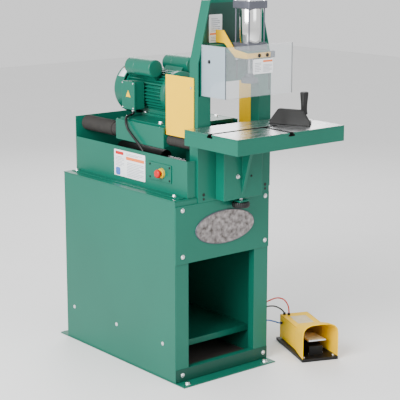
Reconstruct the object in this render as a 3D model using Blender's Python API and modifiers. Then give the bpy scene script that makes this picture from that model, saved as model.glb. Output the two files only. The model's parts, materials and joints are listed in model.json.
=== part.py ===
"""Pneumatic horizontal boring machine on a sheet-metal cabinet.

Metres, +Z up. The origin is the centre of the cabinet's footprint on the floor, -Y is the operator's
side and +X is the operator's right. A motor on a slide feeds its cutter towards the operator through
the window of a column; the work lies on a T-slot table and is held down by an air cylinder.
"""

import math

import bmesh
import bpy
from mathutils import Matrix, Vector

GAP = 0.0004  # between pieces that touch
SHEET = 0.003

# Cabinet, tray and column.
CABINET_W, CABINET_D, CABINET_H = 0.450, 0.720, 0.690
LEFT, RIGHT = -CABINET_W / 2, CABINET_W / 2
FRONT, REAR = -CABINET_D / 2, CABINET_D / 2
BASE_FLANGE = 0.051
OPENING_X, OPENING_Z = (-0.1626, 0.155), (0.053, 0.452)
COVER_FRONT = FRONT - 0.004
COVER_Z = (0.4535, 0.6687)
SHELF_FRONT, SHELF_TOP = -0.252, 0.114
TRAY_X, TRAY_LOW, TRAY_HIGH = -0.1633, 0.8257, 0.907
COLUMN_X = (-0.122, 0.2276)
COLUMN_Y = (COVER_FRONT, -0.317)
COLUMN_LEAN_Z, COLUMN_TOP_Z, COLUMN_LEAN = 1.173, 1.392, 0.0543
MACHINE_X = 0.053  # centre of column, cylinder, motor and knee
WINDOW_X, WINDOW_Z = (-0.0635, 0.169), (0.860, 1.1006)
HEAD_PLATE_X, HEAD_PLATE_Z = (-0.108, 0.2145), (1.056, 1.235)
FLANGE = 0.005

# Table, knee and height knob.
TABLE_X, TABLE_Y = (-0.1905, 0.3167), (-0.660, -0.3729)
TABLE_TOP, TABLE_THICK, SLOT_DEPTH = 0.948, 0.0567, 0.0132
SLOT_WIDTH, LONG_SLOT_Y, CROSS_SLOT_X = 0.019, -0.512, 0.058
KNEE_X, KNEE_FRONT, KNEE_Z = (-0.0394, 0.1455), -0.412, (0.673, 0.8909)
SCREW_Y, SCREW_R = -0.3985, 0.008

# Mitre gauge: the head turns about a pivot on the bar.
PIVOT = Vector((0.190, LONG_SLOT_Y, 0.0))
HEAD_YAW = math.radians(22.5)
FENCE_LENGTH, FENCE_HEIGHT, FENCE_OFFSET = 0.155, 0.057, -0.029

# Clamp cylinder.
CYLINDER_Y, CAP_SIDE = -0.4412, 0.088
CAP_LOW_Z, CAP_HIGH_Z = (1.2185, 1.244), (1.365, 1.3966)
ROD_R, FOOT_Z = 0.0125, (1.1006, 1.1347)

# Guards.
WINDOW_GUARD_X, WINDOW_GUARD_Y, WINDOW_GUARD_Z = (-0.1056, 0.2083), -0.4957, (1.059, 1.240)
SIDE_GUARD_Y, SIDE_GUARD_Z = (-0.3446, -0.1825), (0.899, 1.121)

# Carriage and motor.
RAIL_X, RAIL_Z, RAIL_R = (-0.1077, 0.189), 0.877, 0.012
CARRIAGE_Y, CARRIAGE_SIDE_Z = (-0.185, 0.1156), (0.8466, 0.9246)
MOTOR_PLATE_Z = (0.9155, 0.928)
MOTOR_Z, MOTOR_R, MOTOR_Y = 1.0178, 0.0883, (-0.0707, 0.226)
COWL_R, COWL_Y = 0.102, (0.196, 0.2605)
SHAFT_R = 0.011

# Foot valve, in its own frame: x across, y from the open front to the rear.
VALVE_FRONT, VALVE_YAW = Vector((0.3682, -0.5126, 0.0)), math.radians(-22)
VALVE_W, VALVE_L, VALVE_H = 0.150, 0.288, 0.150
TUBE_R, CABLE_R = 0.003, 0.005

# Routes of the air tubes and of the motor cable.
RED_ROUTE = [
    (0.2344, -0.200, 0.145), (0.262, -0.203, 0.149), (0.300, -0.216, 0.160), (0.340, -0.236, 0.180),
    (0.378, -0.249, 0.190), (0.412, -0.255, 0.178), (0.434, -0.256, 0.150), (0.4405, -0.2552, 0.125),
    (0.4405, -0.2552, 0.1110),
]
BLACK_ROUTE = [
    (0.2344, -0.220, 0.130), (0.262, -0.222, 0.138), (0.296, -0.229, 0.154), (0.334, -0.238, 0.160),
    (0.372, -0.241, 0.155), (0.404, -0.241, 0.139), (0.424, -0.2405, 0.122), (0.4300, -0.2405, 0.1110),
]
BLUE_ROUTE = [
    (0.2344, -0.240, 0.100), (0.262, -0.240, 0.103), (0.300, -0.240, 0.106), (0.340, -0.240, 0.102),
    (0.375, -0.242, 0.090), (0.395, -0.2435, 0.081), (0.4092, -0.2464, 0.078),
]
CABLE_ROUTE = [
    (-0.072, 0.090, 0.9540), (-0.072, 0.090, 0.9460), (-0.084, 0.083, 0.9385), (-0.110, 0.069, 0.938), (-0.134, 0.052, 0.9355),
    (-0.149, 0.036, 0.920), (-0.153, 0.018, 0.896), (-0.153, -0.018, 0.869), (-0.152, -0.048, 0.848),
    (-0.151, -0.076, 0.820), (-0.149, -0.090, 0.780), (-0.148, -0.095, 0.740), (-0.148, -0.096, 0.6910),
]


def clear_scene():
    for obj in list(bpy.data.objects):
        bpy.data.objects.remove(obj, do_unlink=True)


def new_collection(name, helpers=False):
    collection = bpy.data.collections.new(name)
    bpy.context.scene.collection.children.link(collection)
    collection.hide_render = helpers
    return collection


def new_material(name, colour, roughness=0.45, metallic=0.0, alpha=1.0):
    material = bpy.data.materials.new(name)
    material.use_nodes = True
    shader = material.node_tree.nodes["Principled BSDF"]
    shader.inputs["Base Color"].default_value = (*colour, 1.0)
    shader.inputs["Roughness"].default_value = roughness
    shader.inputs["Metallic"].default_value = metallic
    shader.inputs["Alpha"].default_value = alpha
    return material


clear_scene()
PARTS = new_collection("boring_machine")
CUTTERS = new_collection("cutters", helpers=True)
GREEN = new_material("green_paint", (0.06, 0.27, 0.20), 0.4)
GROUND_STEEL = new_material("ground_steel", (0.62, 0.63, 0.64), 0.3, 1.0)
STEEL = new_material("steel", (0.45, 0.46, 0.48), 0.35, 1.0)
YELLOW = new_material("yellow_paint", (0.85, 0.60, 0.08), 0.4)
BLACK = new_material("black_casting", (0.03, 0.03, 0.03), 0.5)
RUBBER = new_material("bellows_rubber", (0.045, 0.043, 0.040), 0.7)
CAP_GREY = new_material("grey_cap", (0.16, 0.17, 0.19), 0.45, 0.6)
CLEAR = new_material("clear_acrylic", (0.85, 0.9, 0.92), 0.05, 0.0, 0.3)
RED = new_material("red_plastic", (0.6, 0.03, 0.02), 0.35)
BLUE = new_material("blue_tube", (0.02, 0.15, 0.55), 0.3)


def link(obj, name, material, helper=False):
    obj.name = name
    (CUTTERS if helper else PARTS).objects.link(obj)
    obj.hide_render = helper
    if helper:
        obj.display_type = "WIRE"
    obj.data.materials.append(material)
    return obj


def box(name, low, high, material=GREEN, bevel=0.0, helper=False):
    """A box between two corners, with its origin at its centre."""
    low, high = Vector(low), Vector(high)
    work = bmesh.new()
    bmesh.ops.create_cube(work, size=1.0)
    bmesh.ops.scale(work, vec=high - low, verts=work.verts)
    mesh = bpy.data.meshes.new(name)
    work.to_mesh(mesh)
    work.free()
    obj = link(bpy.data.objects.new(name, mesh), name, material, helper)
    obj.location = (low + high) / 2
    if bevel:
        edge = obj.modifiers.new("edges", "BEVEL")
        edge.width, edge.segments = bevel, 1
    return obj


def turned(name, profile, place, axis, material, steps=24, helper=False):
    """A solid of revolution. The profile's (radius, height) points run down its outer side."""
    hollow = profile[0][0] > 0
    count = len(profile)
    edges = [(i, (i + 1) % count) for i in range(count if hollow else count - 1)]
    mesh = bpy.data.meshes.new(name)
    mesh.from_pydata([(radius, 0.0, height) for radius, height in profile], edges, [])
    obj = link(bpy.data.objects.new(name, mesh), name, material, helper)
    spin = obj.modifiers.new("turn", "SCREW")
    spin.axis, spin.angle = "Z", 2 * math.pi
    spin.steps = spin.render_steps = steps
    spin.use_merge_vertices, spin.merge_threshold = True, 0.00001
    spin.use_smooth_shade = True
    obj.location = place
    obj.rotation_euler = Vector(axis).to_track_quat("Z", "Y").to_euler()
    return obj


def rod(name, radius, start, end, material, steps=24, bore=0.0, helper=False):
    """A round bar between two points, or a tube if it has a bore."""
    start, end = Vector(start), Vector(end)
    length = (end - start).length
    outer = [(radius, length), (radius, 0.0)]
    profile = outer + [(bore, 0.0), (bore, length)] if bore else [(0.0, length), *outer, (0.0, 0.0)]
    return turned(name, profile, start, end - start, material, steps, helper)


def plate(name, outlines, thickness, place, turn, material=GREEN, helper=False):
    """A flat plate from closed outlines: the first is its edge and the others are its holes."""
    curve = bpy.data.curves.new(name, "CURVE")
    curve.dimensions, curve.fill_mode = "2D", "BOTH"
    curve.extrude = thickness / 2
    for outline in outlines:
        spline = curve.splines.new("POLY")
        spline.points.add(len(outline) - 1)
        for point, (x, y) in zip(spline.points, outline):
            point.co = (x, y, 0.0, 1.0)
        spline.use_cyclic_u = True
    flat = bpy.data.objects.new("outline", curve)
    CUTTERS.objects.link(flat)
    flat.matrix_world = Matrix.Translation(place) @ turn.to_4x4()
    bpy.context.view_layer.update()
    mesh = bpy.data.meshes.new_from_object(flat.evaluated_get(bpy.context.evaluated_depsgraph_get()))
    weld = bmesh.new()
    weld.from_mesh(mesh)
    bmesh.ops.remove_doubles(weld, verts=weld.verts, dist=0.00001)
    weld.to_mesh(mesh)
    weld.free()
    obj = link(bpy.data.objects.new(name, mesh), name, material, helper)
    obj.matrix_world = flat.matrix_world
    bpy.data.objects.remove(flat, do_unlink=True)
    return obj


FACING_FRONT = Matrix.Rotation(math.pi / 2, 3, "X")  # outline x, y become X, Z
FACING_SIDE = Matrix(((0, 0, 1), (1, 0, 0), (0, 1, 0)))  # outline x, y become Y, Z


def rectangle(x, y):
    return [(x[0], y[0]), (x[1], y[0]), (x[1], y[1]), (x[0], y[1])]


def rounded_top(x, y, radius, steps=5):
    """A rectangle whose two upper corners are rounded."""
    points = [(x[0], y[0]), (x[1], y[0])]
    for centre, start in (((x[1] - radius, y[1] - radius), 0.0), ((x[0] + radius, y[1] - radius), math.pi / 2)):
        for step in range(steps + 1):
            angle = start + step * math.pi / 2 / steps
            points.append((centre[0] + radius * math.cos(angle), centre[1] + radius * math.sin(angle)))
    return points


def combine(obj, other, operation="UNION"):
    """Adds a Boolean of a helper to obj."""
    modifier = obj.modifiers.new(operation.lower(), "BOOLEAN")
    modifier.operation, modifier.object, modifier.solver = operation, other, "EXACT"
    return obj


def cut(obj, other):
    return combine(obj, other, "DIFFERENCE")


def smooth_route(points, spacing):
    """Points at even spacing on a Catmull-Rom curve through the route's points."""
    ends = [2 * Vector(points[0]) - Vector(points[1]), 2 * Vector(points[-1]) - Vector(points[-2])]
    knots = [ends[0], *map(Vector, points), ends[1]]
    dense = []
    for a, b, c, d in zip(knots, knots[1:], knots[2:], knots[3:]):
        for step in range(20):
            t = step / 20
            dense.append(
                0.5 * (2 * b + (c - a) * t + (2 * a - 5 * b + 4 * c - d) * t**2 + (3 * b - a - 3 * c + d) * t**3)
            )
    dense.append(knots[-2])
    lengths = [0.0]
    for a, b in zip(dense, dense[1:]):
        lengths.append(lengths[-1] + (b - a).length)
    count = max(2, round(lengths[-1] / spacing))
    even, near = [], 0
    for step in range(count + 1):
        target = lengths[-1] * step / count
        while near < len(dense) - 2 and lengths[near + 1] < target:
            near += 1
        span = lengths[near + 1] - lengths[near]
        even.append(dense[near].lerp(dense[near + 1], min(1.0, (target - lengths[near]) / span)))
    return even


def tube(name, points, radius, material, spacing):
    curve = bpy.data.curves.new(name, "CURVE")
    curve.dimensions, curve.use_fill_caps = "3D", True
    curve.bevel_depth, curve.bevel_resolution = radius, 2
    route = smooth_route(points, spacing)
    spline = curve.splines.new("POLY")
    spline.points.add(len(route) - 1)
    for point, place in zip(spline.points, route):
        point.co = (*place, 1.0)
    return link(bpy.data.objects.new(name, curve), name, material)


def build_cabinet():
    box("cabinet_base", (LEFT, FRONT - BASE_FLANGE, 0), (RIGHT, REAR + BASE_FLANGE, 0.004))
    low, high = 0.004 + GAP, CABINET_H - SHEET - GAP
    inner_front, inner_rear = FRONT + SHEET + GAP, REAR - SHEET - GAP
    box("cabinet_left_panel", (LEFT, inner_front, low), (LEFT + SHEET, REAR, high))
    box("cabinet_right_panel", (RIGHT - SHEET, inner_front, low), (RIGHT, REAR, high))
    box("cabinet_rear_panel", (LEFT + SHEET + GAP, REAR - SHEET, low), (RIGHT - SHEET - GAP, REAR, high))
    box("cabinet_top_plate", (LEFT, FRONT, CABINET_H - SHEET), (RIGHT, REAR, CABINET_H))
    edge = rectangle((LEFT, RIGHT), (low, high))
    opening = rectangle(OPENING_X, OPENING_Z)
    plate("cabinet_front_frame", [edge, opening], SHEET, (0, FRONT + SHEET / 2, 0), FACING_FRONT)
    cover = box("cabinet_front_cover", (LEFT, COVER_FRONT, COVER_Z[0]), (RIGHT, FRONT - GAP, COVER_Z[1]))
    bracket = box(
        "knob_bracket", (MACHINE_X - 0.022, SCREW_Y - 0.022, 0.6595), (MACHINE_X + 0.022, FRONT - 0.002, 0.6655),
        helper=True,
    )
    combine(cover, bracket)
    cut(cover, rod("knob_bore", SCREW_R + 0.0005, (MACHINE_X, SCREW_Y, 0.64), (MACHINE_X, SCREW_Y, 0.68), GREEN, helper=True))
    lip = [
        (SHELF_FRONT, SHELF_TOP), (SHELF_FRONT, SHELF_TOP - 0.024), (SHELF_FRONT + SHEET, SHELF_TOP - 0.024),
        (SHELF_FRONT + SHEET, SHELF_TOP - SHEET), (inner_rear, SHELF_TOP - SHEET), (inner_rear, SHELF_TOP),
    ]
    plate("cabinet_shelf", [lip], CABINET_W - 2 * (SHEET + GAP), (0, 0, 0), FACING_SIDE)
    bulkhead = box("air_bulkhead", (RIGHT - 0.001, -0.258, 0.085), (RIGHT + 0.008, -0.182, 0.165), BLACK, helper=True)
    combine(bpy.data.objects["cabinet_right_panel"], bulkhead)


def build_tray():
    low = CABINET_H + GAP
    rear = REAR - SHEET - GAP
    front, x_end = FRONT + 0.0053, COLUMN_X[0] - GAP
    bent = [
        (TRAY_X, front), (x_end, front), (x_end, front + SHEET), (TRAY_X + SHEET, front + SHEET),
        (TRAY_X + SHEET, rear), (TRAY_X, rear),
    ]
    middle = (0, 0, (low + TRAY_LOW) / 2)
    left = plate("tray_left_wall", [bent], TRAY_LOW - low, middle, Matrix.Identity(3))
    foot_low = low + 0.0001
    foot = box("foot", (TRAY_X - 0.030, -0.345, foot_low), (TRAY_X + 0.001, rear - 0.01, foot_low + SHEET), helper=True)
    combine(left, foot)
    box("tray_rear_wall", (TRAY_X, REAR - SHEET, low), (RIGHT, REAR, TRAY_HIGH))
    box("tray_right_wall", (RIGHT - SHEET, COLUMN_Y[1] + GAP, low), (RIGHT, rear, TRAY_HIGH))


def lean_at(height):
    """How far the column's side leans in at a height."""
    return COLUMN_LEAN * max(0.0, height - COLUMN_LEAN_Z) / (COLUMN_TOP_Z - COLUMN_LEAN_Z)


def build_column():
    left, right = COLUMN_X
    low = CABINET_H + GAP
    silhouette = [
        (left, low), (right, low), (right, COLUMN_LEAN_Z), (right - COLUMN_LEAN, COLUMN_TOP_Z),
        (left + COLUMN_LEAN, COLUMN_TOP_Z), (left, COLUMN_LEAN_Z),
    ]
    depth = COLUMN_Y[1] - COLUMN_Y[0]
    middle = (0, sum(COLUMN_Y) / 2, 0)
    window = rounded_top(WINDOW_X, WINDOW_Z, 0.03)
    column = plate("column", [silhouette, window], depth, middle, FACING_FRONT)
    apron = box(
        "apron", (left + 0.001, COLUMN_Y[0], COVER_Z[1] + GAP), (RIGHT - 0.001, FRONT - GAP, low + 0.01), helper=True
    )
    combine(column, apron)
    pocket_middle = (0, COLUMN_Y[0] - 0.010 + (depth + 0.006) / 2, 0)
    top, seat = COLUMN_TOP_Z + 0.01, HEAD_PLATE_Z[1]
    inner = FLANGE + lean_at(seat)
    inner_top = FLANGE + COLUMN_LEAN * (top - COLUMN_LEAN_Z) / (COLUMN_TOP_Z - COLUMN_LEAN_Z)
    head = [(left + inner, seat), (right - inner, seat), (right - inner_top, top), (left + inner_top, top)]
    cut(column, plate("head_pocket", [head], depth + 0.006, pocket_middle, FACING_FRONT, helper=True))
    for side, name in ((left, "left_gap"), (right, "right_gap")):
        sign = 1 if side == left else -1
        near, far = side + sign * FLANGE, HEAD_PLATE_X[0] if side == left else HEAD_PLATE_X[1]
        close = COLUMN_LEAN_Z + abs(far - near) * (COLUMN_TOP_Z - COLUMN_LEAN_Z) / COLUMN_LEAN - 0.002
        gap = [(near, HEAD_PLATE_Z[0]), (far, HEAD_PLATE_Z[0]), (far, close), (near, COLUMN_LEAN_Z)]
        cut(column, plate(name, [gap[::sign]], depth + 0.006, pocket_middle, FACING_FRONT, helper=True))


def build_table():
    x, y = TABLE_X, TABLE_Y
    bottom, floor = TABLE_TOP - TABLE_THICK, TABLE_TOP - SLOT_DEPTH
    half = SLOT_WIDTH / 2
    box("table_casting", (x[0], y[0], bottom), (x[1], y[1], floor - GAP))
    pads = {
        "table_plate_rear": (x, (LONG_SLOT_Y + half, y[1])),
        "table_plate_front_left": ((x[0], CROSS_SLOT_X - half), (y[0], LONG_SLOT_Y - half)),
        "table_plate_front_right": ((CROSS_SLOT_X + half, x[1]), (y[0], LONG_SLOT_Y - half)),
    }
    for name, (pad_x, pad_y) in pads.items():
        box(name, (pad_x[0], pad_y[0], floor), (pad_x[1], pad_y[1], TABLE_TOP), GROUND_STEEL)
    knee = box("knee", (KNEE_X[0], KNEE_FRONT, KNEE_Z[0]), (KNEE_X[1], COVER_FRONT - GAP, KNEE_Z[1]))
    rib = [(KNEE_FRONT + 0.002, 0.680), (KNEE_FRONT + 0.002, KNEE_Z[1]), (-0.466, KNEE_Z[1]), (-0.466, KNEE_Z[1] - 0.012)]
    combine(knee, plate("rib", [rib], 0.012, (MACHINE_X, 0, 0), FACING_SIDE, helper=True))
    bore = rod("knee_bore", SCREW_R + 0.001, (MACHINE_X, SCREW_Y, 0.660), (MACHINE_X, SCREW_Y, 0.820), GREEN, helper=True)
    cut(knee, bore)
    profile = [
        (0.0, 0.145), (SCREW_R, 0.145), (SCREW_R, 0.021), (0.030, 0.021), (0.033, 0.017),
        (0.033, 0.004), (0.030, 0.0), (0.0, 0.0),
    ]
    turned("table_knob", profile, (MACHINE_X, SCREW_Y, 0.638), (0, 0, 1), BLACK)


def build_mitre_gauge():
    floor = TABLE_TOP - SLOT_DEPTH
    half = SLOT_WIDTH / 2 - 0.001
    box("miter_bar", (0.130, LONG_SLOT_Y - half, floor + GAP), (TABLE_X[1], LONG_SLOT_Y + half, TABLE_TOP - GAP), STEEL)
    turn = Matrix.Rotation(HEAD_YAW, 3, "Z")
    top = TABLE_TOP + GAP
    along, out = turn @ Vector((0, -1, 0)), turn @ Vector((1, 0, 0))
    facing = Matrix((along, (0, 0, 1), along.cross(Vector((0, 0, 1))))).transposed()
    reach = FENCE_LENGTH / 2
    fence = [
        (-reach, 0), (reach, 0), (reach, 0.025), (reach - 0.025, FENCE_HEIGHT), (0.025 - reach, FENCE_HEIGHT),
        (-reach, 0.025),
    ]
    place = PIVOT + out * (FENCE_OFFSET + 0.006) + along * 0.009 + Vector((0, 0, top))
    head = plate("miter_head", [fence], 0.012, place, facing, BLACK)
    steps = 14
    disc = [(FENCE_OFFSET + 0.006, -0.075), (FENCE_OFFSET + 0.006, 0.075)]
    disc += [
        (0.004 + 0.075 * math.sin(math.pi * i / steps), 0.075 * math.cos(math.pi * i / steps))
        for i in range(steps + 1)
    ]
    protractor = plate("protractor", [disc], 0.010, PIVOT + Vector((0, 0, top + 0.005)), turn, BLACK, helper=True)
    combine(head, protractor)
    profile = [
        (0.0, 0.1065), (0.012, 0.1065), (0.0155, 0.100), (0.0145, 0.085), (0.0115, 0.060), (0.011, 0.040),
        (0.014, 0.036), (0.014, 0.026), (0.006, 0.024), (0.006, 0.0), (0.0, 0.0),
    ]
    turned("miter_handle", profile, (0.2235, -0.5468, top + 0.010 + GAP), (0, 0, 1), BLACK)


def build_clamp():
    side = CAP_SIDE / 2
    x, y = (MACHINE_X - side, MACHINE_X + side), (CYLINDER_Y - side, CYLINDER_Y + side)
    front = COLUMN_Y[0] - GAP
    seat = (CAP_LOW_Z[0] - 0.012, CAP_LOW_Z[0] - GAP)
    bracket = box("clamp_bracket", (x[0] - 0.006, y[0], seat[0]), (x[1] + 0.006, front, seat[1]))
    for gusset_x in (x[0] - 0.003, x[1] + 0.003):
        gusset = [(front, seat[0] + 0.001), (front, 1.130), (y[0] + 0.012, seat[0] + 0.001)]
        combine(bracket, plate("gusset", [gusset], 0.0059, (gusset_x, 0, 0), FACING_SIDE, helper=True))
    low, high = (MACHINE_X, CYLINDER_Y, 1.0), (MACHINE_X, CYLINDER_Y, 1.30)
    cut(bracket, rod("rod_bore", ROD_R + 0.0006, low, high, GREEN, helper=True))
    cap = box("cylinder_lower_cap", (x[0], y[0], CAP_LOW_Z[0]), (x[1], y[1], CAP_LOW_Z[1]), CAP_GREY, 0.002)
    cut(cap, rod("cap_bore", ROD_R + 0.0006, low, high, GREEN, helper=True))
    box("cylinder_upper_cap", (x[0], y[0], CAP_HIGH_Z[0]), (x[1], y[1], CAP_HIGH_Z[1]), CAP_GREY, 0.002)
    ends = [(MACHINE_X, CYLINDER_Y, CAP_LOW_Z[1] + GAP), (MACHINE_X, CYLINDER_Y, CAP_HIGH_Z[0] - GAP)]
    rod("cylinder_barrel", 0.040, *ends, STEEL, 32, bore=0.037)
    foot = FOOT_Z[1] - FOOT_Z[0]
    piston = [
        (0.0, 0.220), (0.0365, 0.220), (0.0365, 0.200), (ROD_R, 0.200), (ROD_R, 0.0), (0.0, 0.0),
    ]
    turned("piston_rod", piston, (MACHINE_X, CYLINDER_Y, FOOT_Z[1] + GAP), (0, 0, 1), STEEL)
    pad = [
        (0.0, foot), (0.016, foot), (0.018, foot - 0.010), (0.0305, foot - 0.016), (0.0305, 0.003), (0.028, 0.0),
        (0.0, 0.0),
    ]
    turned("press_foot", pad, (MACHINE_X, CYLINDER_Y, FOOT_Z[0]), (0, 0, 1), CAP_GREY)


def build_guards():
    x, y, z = WINDOW_GUARD_X, WINDOW_GUARD_Y, WINDOW_GUARD_Z
    thick = 0.005
    bent = [
        (x[0], COLUMN_Y[0] - GAP), (x[0], y - thick / 2), (x[1], y - thick / 2), (x[1], y + thick / 2),
        (x[0] + thick, y + thick / 2), (x[0] + thick, COLUMN_Y[0] - GAP),
    ]
    plate("guard_window", [bent], z[1] - z[0], (0, 0, sum(z) / 2), Matrix.Identity(3), CLEAR)
    bar_rear, bar_front = y + thick / 2 + GAP + 0.004, y + thick / 2 + GAP
    strap = [
        (COLUMN_Y[1] - 0.0044, 1.240), (COLUMN_Y[1] - 0.0044, 1.285), (-0.364, 1.285), (-0.4226, 1.222),
        (bar_front, 1.212), (bar_front, 1.193), (-0.430, 1.193), (-0.368, 1.240),
    ]
    arm = plate("guard_arm", [strap[::-1]], 0.004, (-0.003, 0, 0), FACING_SIDE, YELLOW)
    combine(arm, box("arm_bar", (-0.004, bar_front, 1.1935), (0.1062, bar_rear, 1.2115), YELLOW, helper=True))
    for name, start in (("side_guard_left", COLUMN_X[0] - GAP - 0.004), ("side_guard_right", COLUMN_X[1] + GAP)):
        low = (start, SIDE_GUARD_Y[0], SIDE_GUARD_Z[0])
        box(name, low, (start + 0.004, SIDE_GUARD_Y[1], SIDE_GUARD_Z[1]), YELLOW)


def build_controls():
    face = TRAY_X - GAP
    outline = rectangle((-0.2639, -0.1287), (0.731, 0.797))
    panel = plate("switch_plate", [outline], SHEET, (face - SHEET / 2, 0, 0), FACING_SIDE)
    ring_x = face - SHEET
    ring = [(0.019, 0.0065), (0.019, -0.001), (0.0080, -0.001), (0.0080, 0.0065)]
    combine(panel, turned("estop_ring", ring, (ring_x, -0.2087, 0.7625), (-1, 0, 0), YELLOW, helper=True))
    button = [(0.0, 0.028), (0.012, 0.028), (0.0155, 0.024), (0.0155, 0.015), (0.0070, 0.014), (0.0070, 0.0058), (0.0, 0.0058)]
    turned("estop_button", button, (ring_x, -0.2087, 0.7625), (-1, 0, 0), RED)


def bellows(name, place_x, span, radius):
    """A rubber concertina along Y round a guide rod."""
    folds = 7
    pitch = (span[1] - span[0]) / folds
    outer = []
    for fold in range(folds):
        top = (folds - fold) * pitch
        outer += [(radius * 0.82, top), (radius, top - pitch / 2)]
    outer.append((radius * 0.82, 0.0))
    length = span[1] - span[0]
    profile = outer + [(RAIL_R + GAP, 0.0), (RAIL_R + GAP, length)]
    turned(name, profile, (place_x, span[0], RAIL_Z), (0, 1, 0), RUBBER, 16)


def build_carriage():
    front, rear = CARRIAGE_Y
    for side, x in zip(("left", "right"), RAIL_X):
        ends = [(x, COLUMN_Y[1] + GAP, RAIL_Z), (x, REAR - SHEET - GAP, RAIL_Z)]
        rod(f"guide_rod_{side}", RAIL_R, *ends, STEEL)
        bellows(f"bellows_front_{side}", x, (COLUMN_Y[1] + GAP, front - GAP), 0.0205)
        bellows(f"bellows_rear_{side}", x, (0.157 + GAP, REAR - SHEET - GAP), 0.030)
        outward = -1 if side == "left" else 1
        wall = sorted((x + outward * 0.0313, x + outward * 0.0253))
        block = sorted((x + outward * 0.0258, x - outward * 0.0250))
        name = f"carriage_side_{side}"
        cheek = box(name, (wall[0], front, CARRIAGE_SIDE_Z[0]), (wall[1], rear, CARRIAGE_SIDE_Z[1]))
        combine(cheek, box("bearing_block", (block[0], front + 0.001, 0.852), (block[1], rear - 0.001, 0.8975), helper=True))
        pad = sorted((x - outward * 0.0245, x + outward * 0.0100))
        combine(cheek, box("pad", (pad[0], front + 0.002, 0.890), (pad[1], rear - 0.002, MOTOR_PLATE_Z[0] - GAP), helper=True))
        combine(cheek, rod("collar", 0.023, (x, 0.05, RAIL_Z), (x, 0.157, RAIL_Z), STEEL, helper=True))
        cut(cheek, rod("bearing_bore", RAIL_R + GAP, (x, -0.25, RAIL_Z), (x, 0.20, RAIL_Z), STEEL, 24, helper=True))
    x = (RAIL_X[0] - 0.0100, RAIL_X[1] + 0.0100)
    saddle = box("motor_plate", (x[0], front, MOTOR_PLATE_Z[0]), (x[1], rear, MOTOR_PLATE_Z[1]))
    lug = box("lug", (MACHINE_X - 0.02, -0.125, 0.735), (MACHINE_X + 0.02, -0.101, MOTOR_PLATE_Z[0] + 0.001), helper=True)
    combine(saddle, lug)
    feed_z = 0.760
    rod("feed_cylinder_rod", 0.008, (MACHINE_X, -0.101 + GAP, feed_z), (MACHINE_X, 0.18, feed_z), STEEL, 16)
    feed = rod("feed_cylinder", 0.028, (MACHINE_X, 0.05, feed_z), (MACHINE_X, 0.34, feed_z), CAP_GREY)
    for y in (0.07, 0.30):
        low = (MACHINE_X - 0.02, y, CABINET_H + GAP)
        combine(feed, box("cradle", low, (MACHINE_X + 0.02, y + 0.02, feed_z - 0.01), helper=True))
    cut(feed, rod("feed_bore", 0.0084, (MACHINE_X, 0.0, feed_z), (MACHINE_X, 0.32, feed_z), STEEL, 16, helper=True))


def build_motor():
    front, rear = MOTOR_Y
    length = rear - front
    shell = [
        (MOTOR_R, length - 0.012), (MOTOR_R, 0.030), (MOTOR_R - 0.012, 0.010), (0.045, 0.0), (SHAFT_R + GAP, 0.0),
        (SHAFT_R + GAP, length), (MOTOR_R - 0.004, length),
    ]
    body = turned("motor_body", shell, (MACHINE_X, front, MOTOR_Z), (0, 1, 0), GREEN, 32)
    foot_top = MOTOR_Z - MOTOR_R + 0.020
    for x in ((-0.018, 0.024), (0.082, 0.124)):
        low = (x[0], -0.072, MOTOR_PLATE_Z[1] + GAP)
        combine(body, box("motor_foot", low, (x[1], 0.108, foot_top), helper=True))
    depth = COWL_Y[1] - COWL_Y[0]
    cup = [
        (0.0, depth), (COWL_R - 0.006, depth), (COWL_R, depth - 0.008), (COWL_R, 0.0), (COWL_R - SHEET, 0.0),
        (COWL_R - SHEET, depth - 0.008), (COWL_R - 0.008, depth - SHEET), (0.0, depth - SHEET),
    ]
    turned("fan_cowl", cup, (MACHINE_X, COWL_Y[0], MOTOR_Z), (0, 1, 0), GREEN, 32)
    shaft_end = rear + 0.003
    rod("motor_shaft", SHAFT_R, (MACHINE_X, -0.100, MOTOR_Z), (MACHINE_X, shaft_end, MOTOR_Z), STEEL)
    fan = [(0.0, 0.024), (0.025, 0.024), (0.030, 0.006), (0.075, 0.004), (0.075, 0.0), (0.0, 0.0)]
    turned("cooling_fan", fan, (MACHINE_X, shaft_end + GAP, MOTOR_Z), (0, 1, 0), BLACK)
    chuck = [
        (0.0, 0.1145), (0.005, 0.110), (0.005, 0.060), (0.010, 0.060), (0.018, 0.045), (0.018, 0.0), (0.0, 0.0),
    ]
    turned("tool_chuck", chuck, (MACHINE_X, -0.100 - GAP, MOTOR_Z), (0, -1, 0), STEEL)
    left_side = MACHINE_X - MOTOR_R - GAP
    box("junction_box", (-0.087, 0.066, 0.955), (left_side, 0.148, 1.064), GREEN, 0.004)
    for side, name in ((-1, "capacitor_cover_left"), (1, "capacitor_cover_right")):
        centre = Vector((MACHINE_X + side * 0.0913, -0.0086, 1.118))
        shell = [(0.0, 0.1586), (0.028, 0.1586), (0.0338, 0.153), (0.0338, 0.006), (0.028, 0.0), (0.0, 0.0)]
        cover = turned(name, shell, centre, (0, 1, 0), GREEN)
        inward = Vector((MACHINE_X, 0, MOTOR_Z)) - Vector((centre.x, 0, centre.z))
        saddle = box("saddle", (-0.020, 0.02, 0.0), (0.020, 0.13, inward.length - MOTOR_R - 0.0012), helper=True)
        saddle.location = Vector((centre.x, centre.y + 0.079, centre.z)) + inward.normalized() * (
            (inward.length - MOTOR_R - 0.0012) / 2
        )
        saddle.rotation_euler = (0, math.atan2(inward.x, inward.z), 0)
        combine(cover, saddle)


def valve_place(x, y, z=0.0):
    return VALVE_FRONT + Matrix.Rotation(VALVE_YAW, 3, "Z") @ Vector((x, y, z))


def valve_box(name, low, high, material=YELLOW, helper=False):
    obj = box(name, low, high, material, helper=helper)
    obj.location = valve_place(*obj.location)
    obj.rotation_euler = (0, 0, VALVE_YAW)
    return obj


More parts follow.
